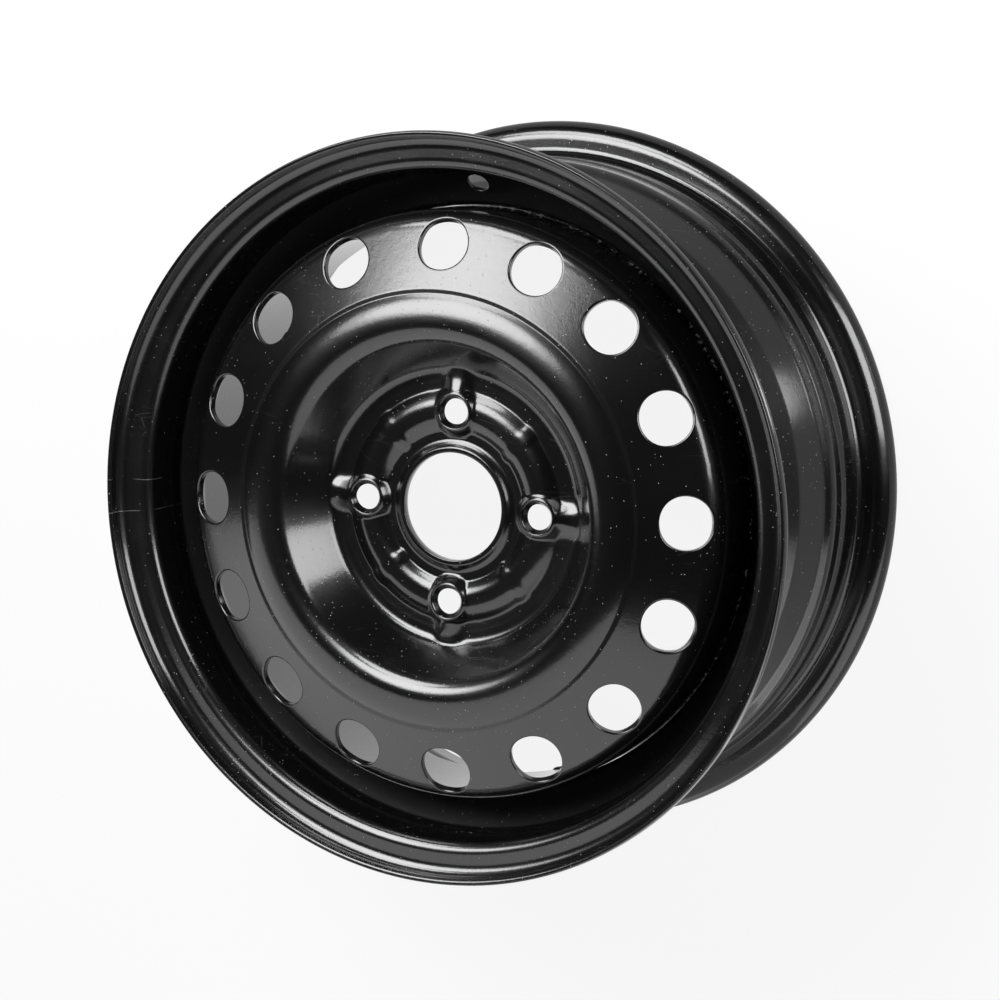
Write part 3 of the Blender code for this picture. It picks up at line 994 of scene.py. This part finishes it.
@dataclass
class DiscSheet(TurnedSheet):
    """The disc's sheet with the arc pads and bolt bosses pressed into its hub."""

    face_height: float = 0.0526
    hub_reach: float = 0.0815
    hub_rows_reach: float = 0.088
    pad_height: float = 0.0039
    pad_inner: float = 0.0395
    pad_outer: float = 0.0611
    pad_inner_round: float = 0.0086
    pad_outer_round: float = 0.0092
    pad_shoulder: float = 1.86
    lobe_height: float = 0.0011
    lobe_half: float = math.radians(5.2)
    lobe_ease: float = math.radians(3.2)
    bolt_circle: float = 0.05
    boss_height: float = 0.0059
    boss_sunk: float = 0.0004
    boss_top: float = 0.0090
    boss_flank: float = 0.0062
    back_inset: float = 0.0022
    boss_blend: float = 0.0012
    hub_blend: float = 0.0014
    ridge_top: float = 0.0012
    ridge_flank: float = 0.0100
    ridge_inset_share: float = 0.6
    ridge_spread: float = 0.0020
    ridge_spread_zone: tuple[float, float] = (0.012, 0.014)
    ridge_drop: float = 0.0028
    ridge_drop_zone: tuple[float, float] = (0.006, 0.013)
    wave_height: float = 0.00003
    wave_pitch: float = 0.0029
    wave_zone: tuple[float, float] = (0.0612, 0.0700)
    wave_ease: float = 0.0015
    relief_zone: tuple[float, float] = (0.0352, 0.0012)
    twist_zone: tuple[float, float] = (0.074, 0.024)
    vent_turn: float = 0.0

    def twist(self, radius: np.ndarray) -> np.ndarray:
        """Turn the columns from the bolts' pattern to the vents' across the bowl."""
        return self.vent_turn * eased(radius, *self.twist_zone)

    def pads(self, radius: np.ndarray, turn: np.ndarray) -> np.ndarray:
        """Height of the arc pads: pillows with broad shoulders and a lobe in each quarter.

        Args:
            radius: Radii of places on the hub.
            turn: Their angles about Z.

        Returns:
            The height at each place.
        """
        middle = (np.floor(turn / (np.pi / 2)) + 0.5) * np.pi / 2
        lobe = self.lobe_height * smooth_step((self.lobe_half - np.abs(turn - middle)) / self.lobe_ease)
        inner = np.clip((radius - self.pad_inner + lobe) / self.pad_inner_round, 0.0, 1.0)
        outer = np.clip((self.pad_outer + lobe - radius) / self.pad_outer_round, 0.0, 1.0)
        rise = 1.0 - (1.0 - inner) ** self.pad_shoulder
        return self.pad_height * rise * (1.0 - (1.0 - outer) ** self.pad_shoulder)

    def bosses(self, radius: np.ndarray, turn: np.ndarray, side: Side) -> np.ndarray:
        """Height of the bolt bosses and of the necks that join them to the bowl.

        Args:
            radius: Radii of places on the hub.
            turn: Their angles about Z.
            side: The side of the sheet.

        Returns:
            The height at each place.
        """
        nearest = np.round(turn / (np.pi / 2)) * np.pi / 2
        along = radius * np.cos(turn - nearest) - self.bolt_circle
        aside = np.abs(radius * np.sin(turn - nearest))
        inset = 0.0 if side is Side.FACE else self.back_inset
        fall = smooth_step((np.hypot(along, aside) - self.boss_top + inset) / self.boss_flank)
        reach = np.hypot(np.minimum(along, 0.0), aside)
        spread = self.ridge_spread * eased(along, *self.ridge_spread_zone)
        inset *= self.ridge_inset_share
        neck = smooth_step((reach - self.ridge_top - spread + inset) / self.ridge_flank)
        lower = self.ridge_drop * eased(along, *self.ridge_drop_zone)
        boss = self.boss_height * (1.0 - fall)
        ridge = (self.boss_height - lower) * (1.0 - neck)
        return smooth_highest(boss, ridge, self.boss_blend) - self.boss_sunk

    def relief(self, radius: np.ndarray, angle: np.ndarray, side: Side) -> np.ndarray:
        """Height of the pads and bosses above the plain turned sheet.

        Args:
            radius: Radii of places on the disc.
            angle: Their angles about Z.
            side: The side of the sheet.

        Returns:
            The height at each place.
        """
        radius, angle = np.broadcast_arrays(radius, angle)
        hub = radius < self.hub_reach
        added = np.zeros(radius.shape)
        if not hub.any():
            return added
        inside, turn = radius[hub], angle[hub]
        pad = self.pads(inside, turn)
        start, end = self.wave_zone
        outside = eased(inside, start, self.wave_ease) * smooth_step((end - inside) / self.wave_ease)
        wave = self.wave_height * outside * np.sin(2 * np.pi * (inside - start) / self.wave_pitch)
        base = np.interp(inside, *self.hub_section(side)) + pad + wave
        raised = self.bosses(inside, turn, side)
        joined = smooth_highest(base, raised, self.hub_blend)
        added[hub] = (joined - base) * eased(inside, *self.relief_zone) + pad + wave
        return added

    def hub_section(self, side: Side) -> tuple[np.ndarray, np.ndarray]:
        """Radii of the rows across the hub and bowl, and their heights above the hub's flat face.

        Args:
            side: The side of the sheet.

        Returns:
            The radii and the heights.
        """
        rows = self.section.face if side is Side.FACE else self.section.back
        level = self.face_height - (0.0 if side is Side.FACE else self.section.thickness)
        last = int(np.argmax(self.section.face[:, 0] > self.hub_rows_reach))
        return rows[:last, 0], rows[:last, 1] - level


@dataclass
class WheelDisc:
    """The pressed disc: bore, bolt bosses, bowl, crown, vent cone and skirt."""

    sheet: float = 0.0036
    longest_row: float = 0.0026
    face_height: float = 0.0526
    bore_radius: float = 0.0283
    lip_height: float = 0.0028
    lip_width: float = 0.0026
    lip_slope: float = math.radians(42)
    lip_crest: float = 0.0015
    lip_fillet: float = 0.0065
    back_lip_width: float = 0.005
    back_lip_height: float = 0.0022
    hub_start: float = 0.0372
    hub_step: float = 0.0008
    hub_count: int = 38
    bowl_foot: float = 0.0715
    foot_fillet: float = 0.008
    crown_radius: float = 0.0981
    crown_height: float = 0.08065
    crown_inner: float = 0.0135
    crown_inner_steps: int = 12
    crown_outer: float = 0.03
    crown_outer_steps: int = 10
    crown_edge: float = math.radians(28.685)
    crease_width: float = 0.0023
    crease_fillets: tuple[float, float] = (0.0016, 0.0022)
    cone_angle: float = math.radians(20.5)
    skirt_radius: float = 0.1542
    skirt_fillet: float = 0.0125
    skirt_end: float = 0.0065
    vent_count: int = 16
    vent_circle: float = 0.1375
    vent_radius: float = 0.01375
    vent_phase: float = math.radians(3.45)
    vent_patch_end: float = 0.15205
    vent_patch_margin: float = 0.0006
    vent_patch_half: int = 8
    vent_steps: tuple[tuple[float, float], ...] = (
        (0.0009, 0.0), (0.00042, 0.03), (0.00012, 0.11), (0.0, 0.22), (0.0, 0.30), (0.0, 0.86), (0.0, 0.91),
        (0.0001, 0.97), (0.0003, 1.0))
    uneven_vents: tuple[int, ...] = (3, 4)
    uneven_turn: float = math.radians(-1.75)
    bolt_count: int = 4
    bolt_circle: float = 0.05
    bolt_patch: tuple[float, float] = (0.0371, 0.0635)
    bolt_patch_half: int = 12
    seat_radius: float = 0.0086
    seat_steps: tuple[tuple[float, float], ...] = (
        (0.0005, 0.0), (0.00015, 0.04), (-0.0002, 0.13), (-0.0004, 0.2))
    bolt_radius: float = 0.0067
    bolt_steps: tuple[tuple[float, float], ...] = (
        (0.0003, 0.78), (0.0, 0.88), (0.0, 0.94), (0.0003, 1.0))
    columns: int = 256

    def hub_corners(self) -> list[tuple]:
        """Corners from the bore's lip to the bowl's foot, with even rows across the hub.

        Returns:
            Corners as (radius, height) or (radius, height, fillet).
        """
        lip = self.bore_radius + self.lip_width
        top = self.face_height + self.lip_height
        foot = lip + self.lip_height / math.tan(self.lip_slope)
        corners = [(self.bore_radius + TurnedSheet.edge, top), (lip, top, self.lip_crest),
                   (foot, self.face_height, self.lip_fillet)]
        corners += [(self.hub_start + self.hub_step * k, self.face_height) for k in range(self.hub_count)]
        return [*corners, (self.bowl_foot, self.face_height, self.foot_fillet)]

    def section(self) -> SheetSection:
        """The disc's section, outboard side first.

        Returns:
            The section, from the bore to the skirt's end.
        """
        centre = Vector((self.crown_radius, self.crown_height - self.crown_inner))
        reach = centre - Vector((self.bowl_foot, self.face_height))
        side = math.atan2(reach.y, reach.x) + math.asin(self.crown_inner / reach.length)
        inner = arc_points(centre, self.crown_inner, side + math.pi / 2, math.pi / 2, self.crown_inner_steps)
        far = (self.crown_radius, self.crown_height - self.crown_outer)
        outer = arc_points(far, self.crown_outer, math.pi / 2, math.pi / 2 - self.crown_edge,
                           self.crown_outer_steps)
        edge = outer[-1]
        crease = (edge[0] + self.crease_width, edge[1])
        drop = (self.skirt_radius - crease[0]) * math.tan(self.cone_angle)
        corners = self.hub_corners() + inner + outer[1:-1]
        corners += [(*edge, self.crease_fillets[0]), (*crease, self.crease_fillets[1]),
                    (self.skirt_radius, crease[1] - drop, self.skirt_fillet),
                    (self.skirt_radius, self.skirt_end)]
        section = SheetSection(rounded_path(corners, ARC_STEP), self.sheet, longest=self.longest_row)
        near = section.face[:, 0] < self.hub_start
        rise = np.clip(1.0 - (section.face[near, 0] - self.bore_radius) / self.back_lip_width, 0.0, 1.0)
        section.back[near, 0] = section.face[near, 0]
        section.back[near, 1] = self.face_height - self.sheet + self.back_lip_height * rise ** 2
        return section

    def build(self, paint: Material) -> Object:
        """Make the disc and stand it in for its solid.

        Args:
            paint: The disc's paint.

        Returns:
            The piece.
        """
        section = self.section()
        step = 2 * math.pi / self.columns
        vent_turn = self.vent_phase % step
        first = round((self.vent_phase - vent_turn) / step)
        sheet = DiscSheet(section, self.columns, vent_turn=vent_turn, face_height=self.face_height,
                          bolt_circle=self.bolt_circle)
        sheet.holes += [*self._bolt_holes(section), *self._vents(section, first)]
        piece = sheet.build("disc_shell", paint)
        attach(piece, "root")
        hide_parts("disc")
        return piece

    def _bolt_holes(self, section: SheetSection) -> list[SheetHole]:
        """The bolt holes with their conical seats.

        Args:
            section: The disc's section.

        Returns:
            The holes, in order around the wheel.
        """
        rows = tuple(int(np.argmax(section.face[:, 0] >= radius)) for radius in self.bolt_patch)
        profile = hole_wall(self.seat_radius, self.seat_steps) + hole_wall(self.bolt_radius, self.bolt_steps)
        reach = section.reach_at_radius(self.bolt_circle)
        holes = []
        for k in range(self.bolt_count):
            column = k * self.columns // self.bolt_count
            columns = (column - self.bolt_patch_half, column + self.bolt_patch_half)
            angle = 2 * math.pi * k / self.bolt_count
            holes.append(SheetHole(reach, angle, rows, columns, profile, rings=11))
        return holes

    def _vents(self, section: SheetSection, first: int) -> list[SheetHole]:
        """The vents in the cone, of which a few sit unevenly.

        Args:
            section: The disc's section.
            first: Number of the first vent's column.

        Returns:
            The holes, in order around the wheel.
        """
        crease = self.crown_radius + self.crown_outer * math.sin(self.crown_edge) + self.crease_width
        patch = (crease + self.vent_patch_margin, self.vent_patch_end)
        rows = tuple(int(np.argmax(section.face[:, 0] >= radius)) for radius in patch)
        profile = hole_wall(self.vent_radius, self.vent_steps)
        reach = section.reach_at_radius(self.vent_circle)
        holes = []
        for k in range(self.vent_count):
            angle = self.vent_phase + 2 * math.pi * k / self.vent_count
            if k in self.uneven_vents:
                angle += self.uneven_turn
            column = first + k * self.columns // self.vent_count
            columns = (column - self.vent_patch_half, column + self.vent_patch_half)
            holes.append(SheetHole(reach, angle, rows, columns, profile, rings=9))
        return holes


@dataclass
class WeldRuns:
    """The weld runs between the disc's skirt and the rim's well, swept along arcs."""

    count: int = 8
    length: float = 0.039
    distance: float = 0.15165
    height: float = 0.0040
    radius: float = 0.0021
    phase: float = math.radians(22.5)
    segments: int = 72
    ring_points: int = 14
    ripple_pitch: float = 0.0021
    ripple_power: float = 1.6
    ripple_depth: float = 0.13
    ripple_shift: float = 0.37
    taper: float = 14.0
    least_width: float = 0.25

    def tree(self, material: Material) -> Tree:
        """Geometry that sweeps one rippled run along an arc about Z.

        Args:
            material: The runs' paint.

        Returns:
            The geometry's tree.
        """
        weld = Wiring(bpy.data.node_groups.new("weld_run", "GeometryNodeTree"))
        sockets = weld.tree.interface
        sockets.new_socket("Geometry", in_out="OUTPUT", socket_type="NodeSocketGeometry")
        for title, value in (("Distance", self.distance), ("Height", self.height), ("Radius", self.radius),
                             ("Span", self.length / self.distance), ("Middle", 0.0),
                             ("Ripple Pitch", self.ripple_pitch), ("Seed", 0.0)):
            sockets.new_socket(title, in_out="INPUT", socket_type="NodeSocketFloat").default_value = value
        given = weld.node("NodeGroupInput").outputs
        line = weld.node("GeometryNodeCurvePrimitiveLine").outputs["Curve"]
        sampled = weld.node("GeometryNodeResampleCurve", {"Curve": line, "Count": self.segments})
        share = weld.node("GeometryNodeSplineParameter").outputs["Factor"]
        angle = weld.scaled(weld.math("SUBTRACT", share, 0.5), given["Span"], given["Middle"])
        spot = weld.node("ShaderNodeCombineXYZ", {
            "X": weld.times(weld.math("COSINE", angle), given["Distance"]),
            "Y": weld.times(weld.math("SINE", angle), given["Distance"]), "Z": given["Height"]})
        placed = weld.node("GeometryNodeSetPosition", {
            "Geometry": sampled.outputs["Curve"], "Position": spot.outputs["Vector"]})
        ring = weld.node("GeometryNodeCurvePrimitiveCircle", {"Resolution": self.ring_points, "Radius": 1.0})
        swept = weld.node("GeometryNodeCurveToMesh", {
            "Curve": placed.outputs["Geometry"], "Profile Curve": ring.outputs["Curve"],
            "Scale": self._width(weld, given, share), "Fill Caps": True})
        whole = weld.node("GeometryNodeRealizeInstances", {"Geometry": swept.outputs["Mesh"]})
        dressed = weld.node("GeometryNodeSetMaterial", {
            "Geometry": whole.outputs["Geometry"], "Material": material})
        weld.node("NodeGroupOutput", {"Geometry": dressed.outputs["Geometry"]})
        return weld.tree

    def _width(self, weld: Wiring, given: bpy.types.NodeOutputs, share: Socket) -> Socket:
        """The run's radius along its length: tapered ends, and ripples in between.

        Args:
            weld: The tree that is being wired.
            given: Its named inputs.
            share: Share of the way along the run.

        Returns:
            The radius.
        """
        length = weld.times(given["Span"], given["Distance"])
        wave = weld.times(share, weld.math("DIVIDE", length, given["Ripple Pitch"]))
        ripple = weld.math("FRACT", weld.math("ADD", wave, given["Seed"]))
        body = weld.scaled(weld.math("POWER", ripple, self.ripple_power), -self.ripple_depth, 1.0)
        edge = weld.math("MINIMUM", share, weld.math("SUBTRACT", 1.0, share))
        taper = weld.math("MINIMUM", weld.math("POWER", weld.times(edge, self.taper), 0.5), 1.0)
        return weld.times(body, weld.math("MAXIMUM", taper, self.least_width), given["Radius"])

    def build(self, paint: Material) -> list[Object]:
        """Make each run as a plain mesh and stand it in for its solid.

        Args:
            paint: The runs' paint.

        Returns:
            The pieces, in order around the wheel.
        """
        tree = self.tree(paint)
        names = {item.name: item.identifier for item in tree.interface.items_tree if item.in_out == "INPUT"}
        pieces = []
        for k in range(self.count):
            carrier = bpy.data.objects.new("weld_carrier", bpy.data.meshes.new("weld_carrier"))
            bpy.context.scene.collection.objects.link(carrier)
            modifier = carrier.modifiers.new("Weld", "NODES")
            modifier.node_group = tree
            modifier[names["Middle"]] = self.phase + 2 * math.pi * k / self.count
            modifier[names["Seed"]] = self.ripple_shift * k
            depsgraph = bpy.context.evaluated_depsgraph_get()
            mesh = bpy.data.meshes.new_from_object(carrier.evaluated_get(depsgraph))
            bpy.data.objects.remove(carrier, do_unlink=True)
            shape = bmesh.new()
            shape.from_mesh(mesh)
            bmesh.ops.remove_doubles(shape, verts=shape.verts, dist=MERGE_DISTANCE)
            shape.to_mesh(mesh)
            shape.free()
            piece = finished_object(f"weld_run_{k + 1}", mesh, paint)
            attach(piece, "root")
            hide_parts(f"weld_bead_{k + 1}")
            pieces.append(piece)
        return pieces


# The studio


PICTURE_RIGHT = (0.893, 0.0, -0.45)
PICTURE_BACK = (-0.45, 0.0, -0.893)
PICTURE_UP = (0.0, 1.0, 0.0)


def turned(direction: tuple[float, float, float]) -> Vector:
    """Turn a direction from the picture's upright about the wheel's axis to the wheel's frame."""
    return Matrix.Rotation(FRAME_TURN, 3, "Z") @ Vector(direction)


def aimed(right: Vector, up: Vector, back: Vector, spot: Vector) -> Matrix:
    """Place of a lamp or camera that looks against its back direction."""
    return Matrix((*zip(right, up, back, spot), (0.0, 0.0, 0.0, 1.0)))


def area_lamp(name: str, size: tuple[float, float], radiance: float, place: Matrix,
              round_edge: bool = False) -> Object:
    """Add a flat lamp that the camera doesn't see.

    Args:
        name: The lamp's name.
        size: Its width and height.
        radiance: How bright its face is.
        place: Its place, looking against its own Z.
        round_edge: Whether it is an ellipse.

    Returns:
        The lamp, linked to the scene.
    """
    data = bpy.data.lights.new(name, "AREA")
    data.shape = "ELLIPSE" if round_edge else "RECTANGLE"
    data.size, data.size_y = size
    area = size[0] * size[1] * (math.pi / 4 if round_edge else 1.0)
    data.energy = radiance * 4.0 * area
    lamp = bpy.data.objects.new(name, data)
    lamp.matrix_world = place
    lamp.visible_camera = False
    bpy.context.scene.collection.objects.link(lamp)
    return lamp


@dataclass(frozen=True)
class SoftBox:
    """A soft lamp, level in the picture and aimed at the wheel's centre."""

    name: str
    direction: tuple[float, float, float]
    distance: float
    size: tuple[float, float]
    radiance: float
    round_edge: bool = False

    def build(self) -> Object:
        """Place the lamp along its direction from the wheel.

        Returns:
            The lamp.
        """
        back = turned(self.direction).normalized()
        level = turned(PICTURE_UP).cross(back).normalized()
        place = aimed(level, back.cross(level), back, back * self.distance)
        return area_lamp(self.name, self.size, self.radiance, place, self.round_edge)


@dataclass(frozen=True)
class BounceCard:
    """A pale card beside the wheel's lower edge, square to the camera and seen only in reflections."""

    name: str
    across: tuple[float, float]
    forward: tuple[float, float]
    radiance: float
    level: float = -0.200

    def build(self) -> Object:
        """Place the card in the plane that a table under the standing wheel would have.

        Returns:
            The lamp.
        """
        right, back, out = turned(PICTURE_RIGHT), turned(PICTURE_BACK), -turned(PICTURE_UP)
        middle = right * sum(self.across) / 2 - back * sum(self.forward) / 2 - out * self.level
        size = (self.across[1] - self.across[0], self.forward[1] - self.forward[0])
        lamp = area_lamp(self.name, size, self.radiance, aimed(right, back, out, middle))
        lamp.visible_diffuse = False
        return lamp


@dataclass(frozen=True)
class PaintedFloorReflection:
    """Painted reflection: how brightly the floor glows in reflections, set by place and not by the lamps:
    pale inside the wheel and beside it, dim farther out, and a painted glint in one spot that stands in for
    a lamp.
    """

    far: float = 0.07
    near: float = 0.27
    near_edge: tuple[float, float] = (0.45, 0.75)
    inner: float = 0.60
    inner_edge: tuple[float, float] = (0.185, 0.207)
    # spot is the strength of a painted glint: a patch of floor that glows brighter than white in reflections
    # and stands in for a lamp.
    spot: float = 3.4
    painted_glint_edge: tuple[float, float] = (0.022, 0.042)
    painted_glint_place: tuple[float, float] = (0.296, 0.092)

    def strength(self, floor: Wiring, level: float) -> Socket:
        """The floor's painted glow at each place, as reflections see it.

        Args:
            floor: The floor's shader.
            level: The floor's height.

        Returns:
            The strength of its glow.
        """
        place = floor.node("ShaderNodeTexCoord").outputs["Object"]
        away = floor.node("ShaderNodeVectorMath", {0: place}, operation="LENGTH").outputs["Value"]
        ends = {0: place, 1: turned((*self.painted_glint_place, level))}
        beside = floor.node("ShaderNodeVectorMath", ends, operation="DISTANCE").outputs["Value"]
        painted_sheen = self.far
        for share, distance, edge in ((self.near, away, self.near_edge), (self.inner, away, self.inner_edge),
                                      (self.spot, beside, self.painted_glint_edge)):
            painted_sheen = floor.scaled(floor.ramp(distance, edge, reverse=True), share, painted_sheen)
        return painted_sheen


@dataclass
class Studio:
    """Pale floor, soft lamps, plain world and the camera."""

    floor_size: float = 12.0
    floor_grey: float = 0.8
    floor_glow: float = 0.88
    painted_sheen: PaintedFloorReflection = PaintedFloorReflection()
    world_light: float = 0.2
    world_shine: float = 0.01
    boxes: tuple[SoftBox, ...] = (
        SoftBox("soft_box_top", (-0.32, 0.445, 0.835), 1.12, (0.96, 0.58), 3.4, True),
        SoftBox("soft_box_core", (-0.31, 0.475, 0.835), 1.10, (0.70, 0.48), 4.4, True),
        SoftBox("soft_box_over", (-0.20, 0.76, 0.62), 1.2, (0.80, 0.36), 7.0, True),
        SoftBox("soft_box_side", (0.89, 0.29, 0.355), 1.3, (0.80, 0.70), 5.2),
    )
    cards: tuple[BounceCard, ...] = (
        BounceCard("table_card", (-1.6, -0.03), (-0.25, 0.37), 0.88),
        BounceCard("table_front_card", (-0.03, 0.09), (0.10, 0.37), 0.88),
        BounceCard("table_shade_card", (-0.03, 0.17), (-0.25, 0.10), 0.35),
        BounceCard("table_end_card", (0.17, 0.9), (-0.35, 0.22), 0.95),
    )
    sensor: float = 36.0
    focal_share: float = 3.2176
    camera_right: tuple[float, float, float] = (0.894767, -0.059755, -0.442517)
    camera_up: tuple[float, float, float] = (0.0, 0.991006, -0.133821)
    camera_spot: tuple[float, float, float] = (0.767342, 0.201800, 1.523667)

    def floor(self) -> Object:
        """A pale floor that looks white to the camera and keeps the wheel's shadow; in reflections it is a
        painted glow of set strength, without the shadow.

        Returns:
            The floor.
        """
        level = CAD_BOX[0][2]
        half = self.floor_size / 2
        mesh = bpy.data.meshes.new("floor")
        corners = [(-half, -half), (half, -half), (half, half), (-half, half)]
        mesh.from_pydata([(x, y, level) for x, y in corners], [], [(0, 1, 2, 3)])
        piece = bpy.data.objects.new("floor", mesh)
        bpy.context.scene.collection.objects.link(piece)
        material = bpy.data.materials.new("pale_floor")
        material.use_nodes = True
        floor = Wiring(material.node_tree)
        floor.tree.nodes.clear()
        rays = floor.node("ShaderNodeLightPath").outputs
        seen = floor.math("MAXIMUM", rays["Is Camera Ray"], rays["Is Transmission Ray"])
        glossy = rays["Is Glossy Ray"]
        # In reflections the floor is pure painted glow at the painted sheen's strength, not lit by the
        # lamps.
        painted_sheen = floor.math("SUBTRACT", self.painted_sheen.strength(floor, level), 1.0)
        plain = floor.node("ShaderNodeBsdfDiffuse", {"Color": (*[self.floor_grey] * 3, 1.0)})
        glow = floor.node("ShaderNodeEmission", {"Color": (1.0, 1.0, 1.0, 1.0),
                                                 "Strength": floor.scaled(glossy, painted_sheen, 1.0)})
        mix = floor.node("ShaderNodeMixShader", {
            "Fac": floor.math("MAXIMUM", floor.times(seen, self.floor_glow), glossy),
            1: plain.outputs["BSDF"], 2: glow.outputs["Emission"]})
        floor.node("ShaderNodeOutputMaterial", {"Surface": mix.outputs["Shader"]})
        mesh.materials.append(material)
        return piece

    def world(self) -> None:
        """A plain world: white to the camera and dim in reflections."""
        world = bpy.data.worlds.new("studio_world")
        bpy.context.scene.world = world
        world.use_nodes = True
        sky = Wiring(world.node_tree)
        sky.tree.nodes.clear()
        rays = sky.node("ShaderNodeLightPath").outputs
        soft = sky.times(sky.math("SUBTRACT", 1.0, rays["Is Glossy Ray"]), self.world_light)
        shine = sky.times(rays["Is Glossy Ray"], self.world_shine)
        strength = sky.math("MAXIMUM", sky.math("ADD", soft, shine), rays["Is Camera Ray"])
        background = sky.node("ShaderNodeBackground", {"Strength": strength})
        sky.node("ShaderNodeOutputWorld", {"Surface": background.outputs["Background"]})

    def camera(self) -> Object:
        """The camera at the picture's angle, looking down on the wheel.

        Returns:
            The camera.
        """
        data = bpy.data.cameras.new("camera")
        data.sensor_width = self.sensor
        data.lens = self.focal_share * self.sensor
        right, up = turned(self.camera_right).normalized(), turned(self.camera_up).normalized()
        camera = bpy.data.objects.new("camera", data)
        camera.matrix_world = aimed(right, up, right.cross(up).normalized(), turned(self.camera_spot))
        bpy.context.scene.collection.objects.link(camera)
        bpy.context.scene.camera = camera
        return camera

    def build(self) -> None:
        """Set the stage, the lamps and the camera."""
        self.world()
        self.floor()
        for lamp in (*self.boxes, *self.cards):
            lamp.build()
        self.camera()
        bpy.context.scene.view_settings.view_transform = "Standard"


def main() -> None:
    """Dress the wheel, report each piece and set the studio."""
    logging.basicConfig(level=logging.INFO, format="%(name)s: %(message)s")
    effects = {"texture": texture_group(), "dust": dust_group(), "scratch": scratch_group(),
               "polar": polar_group(), "chips": chip_group()}
    rim_paint = PaintFinish("rim_black", marks=(ChipRing(), SeamLines()), dull=DullWell()).material(effects)
    disc_paint = PaintFinish("disc_black", marks=(ChipRing(),)).material(effects)
    weld_paint = PaintFinish("weld_black", roughness=0.45, coat=0.5, peel=0.00004).material(effects)
    pieces = [WheelRim().build(rim_paint), WheelDisc().build(disc_paint), *WeldRuns().build(weld_paint)]
    for piece in pieces:
        LOG.info("%s: %d faces", piece.name, len(piece.data.polygons))
    Studio().build()


if __name__ == "__main__":
    main()
